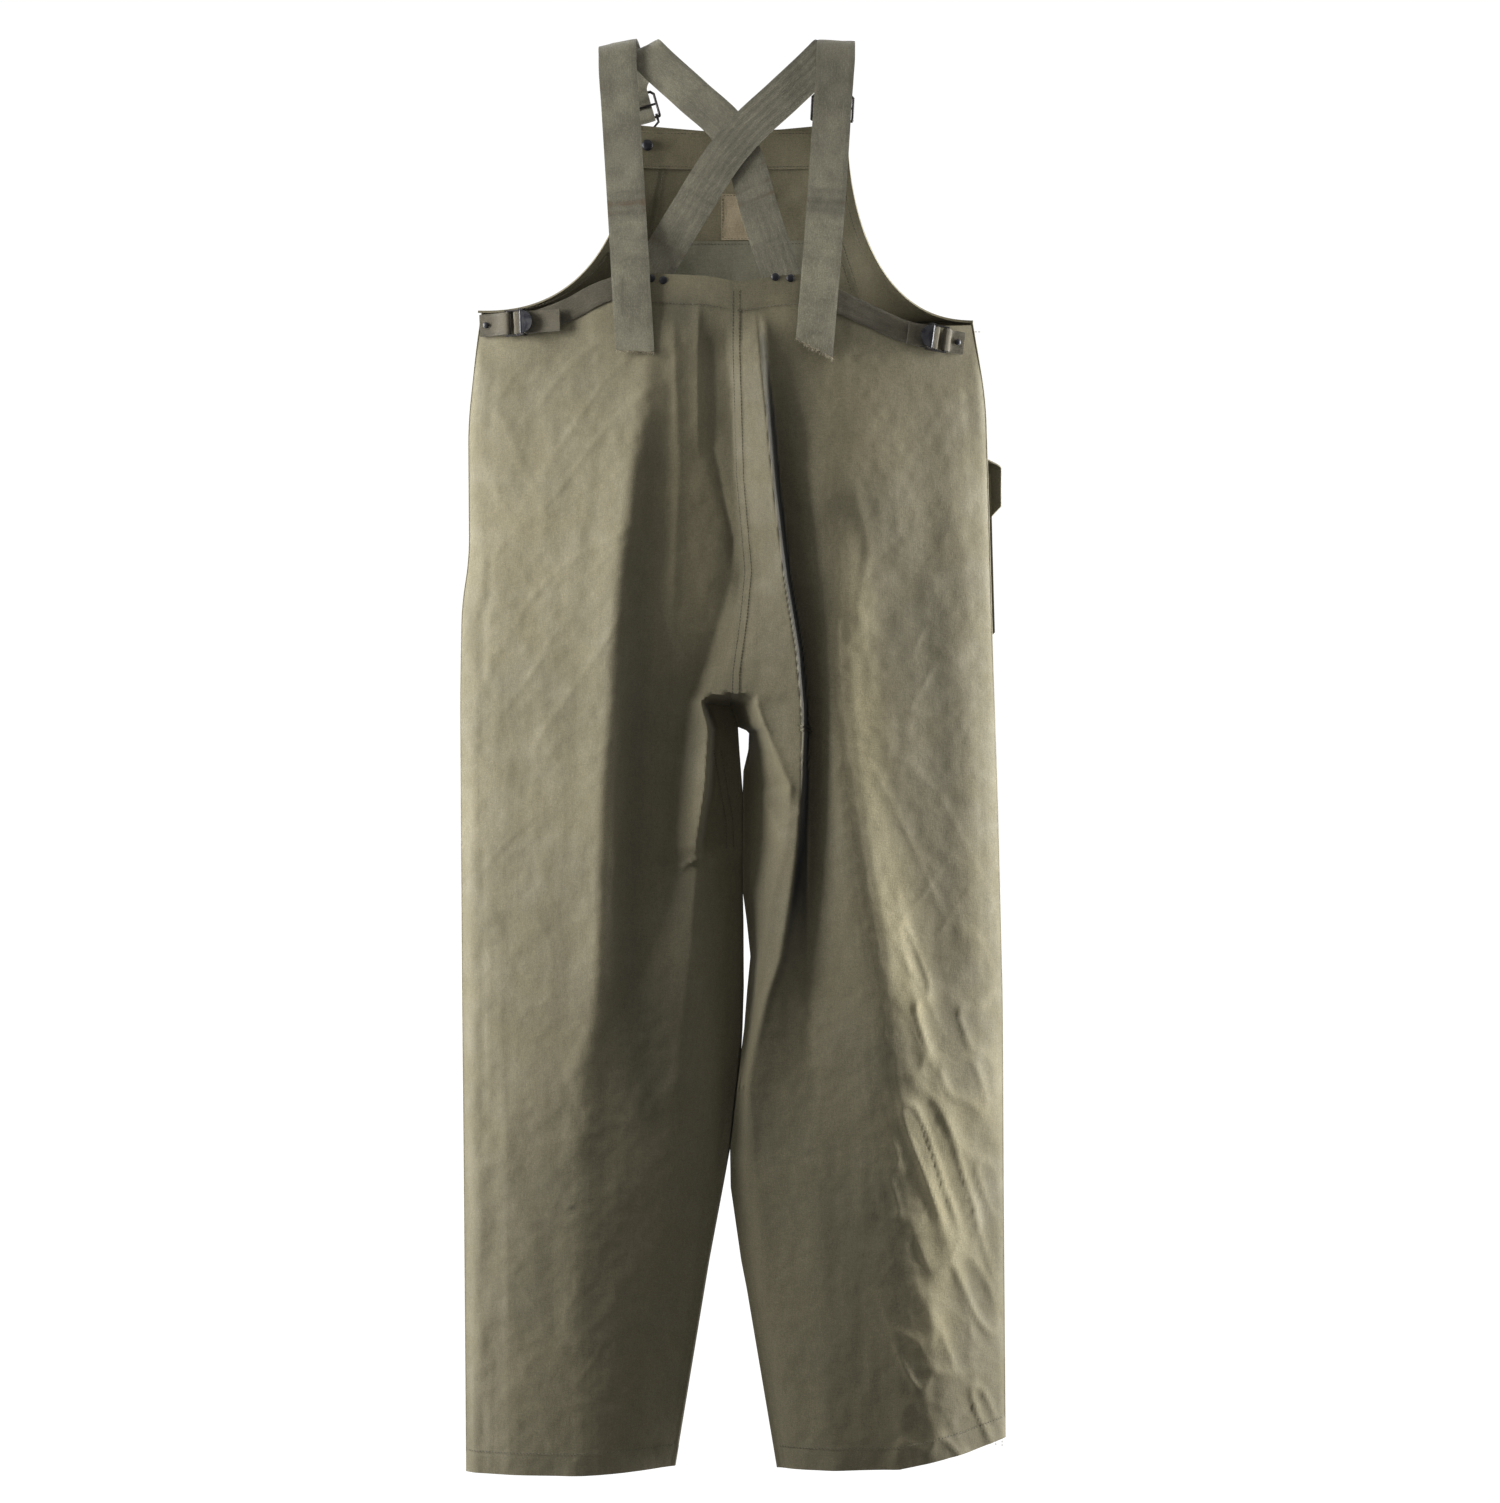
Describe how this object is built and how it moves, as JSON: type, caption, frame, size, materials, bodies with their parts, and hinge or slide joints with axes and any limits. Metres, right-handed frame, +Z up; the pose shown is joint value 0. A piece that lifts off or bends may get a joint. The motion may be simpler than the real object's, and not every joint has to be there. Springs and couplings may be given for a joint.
{
  "type": "chest-high bib overalls",
  "caption": "Chest-high bib overalls of coated cloth hanging by crossed webbing suspenders, with hook-loop clasps, cam buckles at the hips and a flapped thigh pocket.",
  "frame": {"origin": "the middle of the bar that the suspenders hang over", "axes": "+X the wearer's right, +Y the wearer's front, +Z up along the hanging garment"},
  "size_m": [0.543, 0.12, 1.4263],
  "materials": {
    "coated_cloth": "matt, worn rubber-coated cotton twill, olive drab",
    "suspender_webbing": "matt, tubular cotton webbing, grey-green",
    "waist_webbing": "matt, narrow cotton webbing, brown-green",
    "label": "matt, blank tan cotton patch",
    "black_metal": "satin black enamel",
    "dark_steel": "dull, blackened steel wire"
  },
  "bodies": {
    "overalls": {"back_left_panel": "coated_cloth", "back_right_panel": "coated_cloth", "front_left_panel": "coated_cloth", "front_right_panel": "coated_cloth", "bib_panel": "coated_cloth", "bib_top_facing": "coated_cloth", "bib_pocket": "coated_cloth", "bib_lining": "coated_cloth", "blank_label": "label", "back_waist_facing": "coated_cloth", "thigh_pocket": "coated_cloth", "snap_stud": "black_metal", "snap_post": "black_metal", "left_strap": "suspender_webbing", "right_strap": "suspender_webbing", "left_strap_rivets": "black_metal", "right_strap_rivets": "black_metal", "left_strap_burrs": "dark_steel", "right_strap_burrs": "dark_steel", "left_button": "dark_steel", "right_button": "dark_steel", "left_button_tack": "black_metal", "right_button_tack": "black_metal", "left_waist_strap": "waist_webbing", "right_waist_strap": "waist_webbing", "left_buckle_tab": "waist_webbing", "right_buckle_tab": "waist_webbing", "left_cam_frame": "dark_steel", "right_cam_frame": "dark_steel", "left_cam_pin": "dark_steel", "right_cam_pin": "dark_steel", "left_tab_rivet": "black_metal", "right_tab_rivet": "black_metal", "left_tab_burr": "dark_steel", "right_tab_burr": "dark_steel"},
    "left_clasp": {"left_hook_loop": "dark_steel", "left_slider": "dark_steel"},
    "right_clasp": {"right_hook_loop": "dark_steel", "right_slider": "dark_steel"},
    "left_lever": {"left_cam_lever": "black_metal"},
    "right_lever": {"right_cam_lever": "black_metal"},
    "flap": {"pocket_flap": "coated_cloth", "snap_cap": "black_metal", "snap_socket": "black_metal"}
  },
  "joints": [
    {"name": "left_clasp_swing", "type": "hinge", "parent": "overalls", "child": "left_clasp", "pos_m": [-0.09, 0.0284, -0.093], "axis": [0, 1, 0], "range_deg": [-12, 12], "stiffness_Nm_per_rad": 0.25, "deforming": ["left_strap"]},
    {"name": "right_clasp_swing", "type": "hinge", "parent": "overalls", "child": "right_clasp", "pos_m": [0.094, 0.0284, -0.093], "axis": [0, 1, 0], "range_deg": [-12, 12], "stiffness_Nm_per_rad": 0.25, "deforming": ["right_strap"]},
    {"name": "left_lever_turn", "type": "hinge", "parent": "overalls", "child": "left_lever", "pos_m": [-0.21404, -0.03003, -0.27497], "axis": [0.0333, -0.0105, -0.9994], "range_deg": [0, 95]},
    {"name": "right_lever_turn", "type": "hinge", "parent": "overalls", "child": "right_lever", "pos_m": [0.19324, -0.03122, -0.28936], "axis": [0.132, 0.0442, 0.9903], "range_deg": [0, 95]},
    {"name": "flap_lift", "type": "hinge", "parent": "overalls", "child": "flap", "pos_m": [0.20514, 0.02666, -0.418], "axis": [0.9431, -0.3326, 0], "range_deg": [0, 150]}
  ]
}
